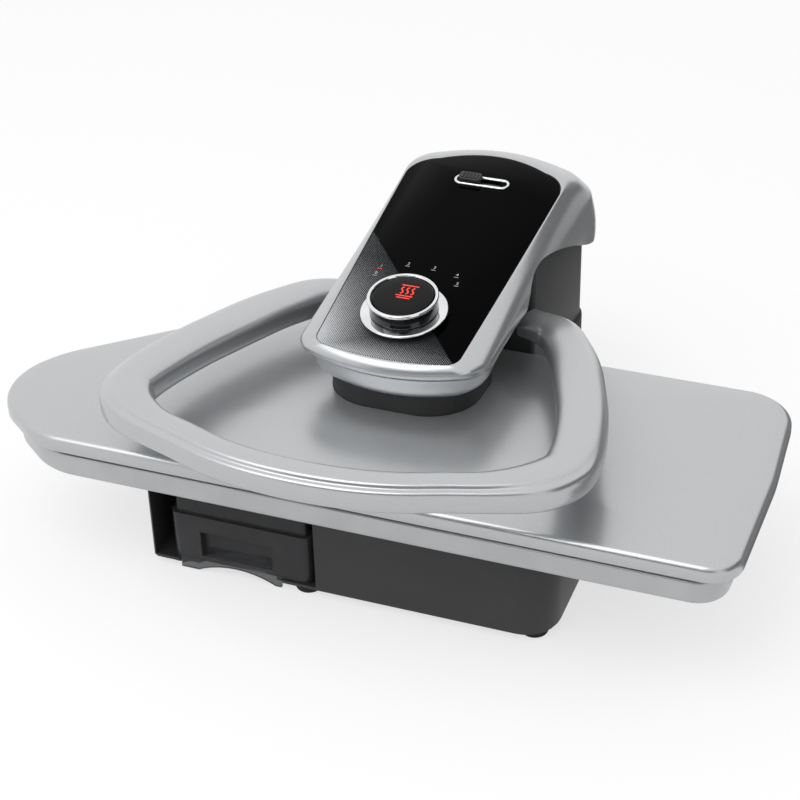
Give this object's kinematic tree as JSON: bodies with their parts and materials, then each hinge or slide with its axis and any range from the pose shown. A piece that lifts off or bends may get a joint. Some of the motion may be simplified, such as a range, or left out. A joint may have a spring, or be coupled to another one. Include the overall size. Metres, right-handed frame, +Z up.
{
  "type": "steam ironing press",
  "caption": "Tabletop steam ironing press: long padded lower board, hinged upper shoe with loop handle, tilted control head with dial, rear tower and pull-out water tank.",
  "frame": {"origin": "centre of the whole press's box, on the table under its feet", "axes": "+X to the right along the pressing board, -Y towards the user, +Z up"},
  "size_m": [0.66, 0.547, 0.2493],
  "materials": {
    "silver_paint": "moulded plastic with satin silver lacquer",
    "board_paint": "sheet steel with satin silver paint",
    "grey_plastic": "dark grey, fine grain",
    "dark_plastic": "charcoal, fine grain",
    "black_gloss": "high gloss black",
    "dial_paint": "gloss grey",
    "smoke_plastic": "smoke tinted, see-through",
    "chrome": "plated, polished",
    "steel": "zinc plated",
    "aluminium": "cast, ground sole",
    "brass": "machined",
    "nylon": "natural, waxy",
    "rubber": "matt black",
    "hose": "silicone, cloudy white",
    "foam": "open cell foam",
    "silver_cloth": "heat resistant metallised cotton",
    "glass_wool": "needled glass mat",
    "circuit_board": "green solder mask"
  },
  "bodies": {
    "base": {"base_shell": "dark_plastic", "base_plate": "dark_plastic", "column_shell": "grey_plastic", "foot_front_left": "rubber", "foot_front_middle": "rubber", "foot_front_right": "rubber", "foot_rear_left": "rubber", "foot_rear_right": "rubber", "base_screw_front": "steel", "base_screw_back": "steel", "board_pan": "board_paint", "foam_pad": "foam", "pad_cover": "silver_cloth", "hinge_bracket": "steel", "hinge_bush_left": "nylon", "hinge_bush_right": "nylon", "lift_spring_left": "steel", "lift_spring_right": "steel", "steam_swivel": "brass", "lock_keeper": "steel", "pump_body": "dark_plastic", "pump_mount": "rubber", "suction_hose": "hose", "riser_hose": "hose", "tank_dock": "dark_plastic", "power_board": "circuit_board", "cord_inlet": "rubber"},
    "arm": {"hinge_shaft": "steel", "arm_frame": "steel", "handle_crossbar": "steel", "head_upper_shell": "silver_paint", "head_lower_shell": "silver_paint", "front_panel": "black_gloss", "dial_collar": "dark_plastic", "dial_bezel": "chrome", "dial_encoder": "dark_plastic", "control_board": "circuit_board", "lock_bezel": "chrome", "neck_collar": "dark_plastic", "shoe_mount": "steel", "shoe_cover": "silver_paint", "sole_plate": "aluminium", "heat_block": "aluminium", "heating_element": "steel", "insulation_sheet": "glass_wool", "thermostat": "nylon", "feed_hose": "hose", "loop_handle": "silver_paint", "head_screw_front": "steel", "head_screw_back": "steel", "shoe_screw_left": "steel", "shoe_screw_right": "steel"},
    "dial": {"dial_grip": "dial_paint", "dial_rim": "chrome"},
    "button": {"button_cap": "black_gloss"},
    "lock": {"lock_slider": "dark_plastic", "lock_bolt": "steel"},
    "tank": {"water_tank": "smoke_plastic", "tank_spigot": "dark_plastic"},
    "cap": {"tank_cap": "dark_plastic"}
  },
  "joints": [
    {"name": "arm_hinge", "type": "hinge", "parent": "base", "child": "arm", "pos_m": [0.005, 0.173, 0.15], "axis": [-1, 0, 0], "range_deg": [0, 40]},
    {"name": "dial_turn", "type": "hinge", "parent": "arm", "child": "dial", "pos_m": [0.005, -0.0338, 0.20587], "axis": [0, -0.1736, 0.9848], "range_deg": [0, 150]},
    {"name": "steam_button", "type": "slide", "parent": "arm", "child": "button", "axis": [0, 0.1736, -0.9848], "range_m": [0, 0.0016], "stiffness_N_per_m": 600, "springref_m": -0.001},
    {"name": "lock_slide", "type": "slide", "parent": "arm", "child": "lock", "axis": [1, 0, 0], "range_m": [0, 0.022]},
    {"name": "tank_slide", "type": "slide", "parent": "base", "child": "tank", "axis": [0, -1, 0], "range_m": [0, 0.12]},
    {"name": "tank_cap_turn", "type": "hinge", "parent": "tank", "child": "cap", "pos_m": [-0.097, -0.1393, 0.073], "axis": [0, 0, 1], "range_deg": [0, 90]}
  ]
}
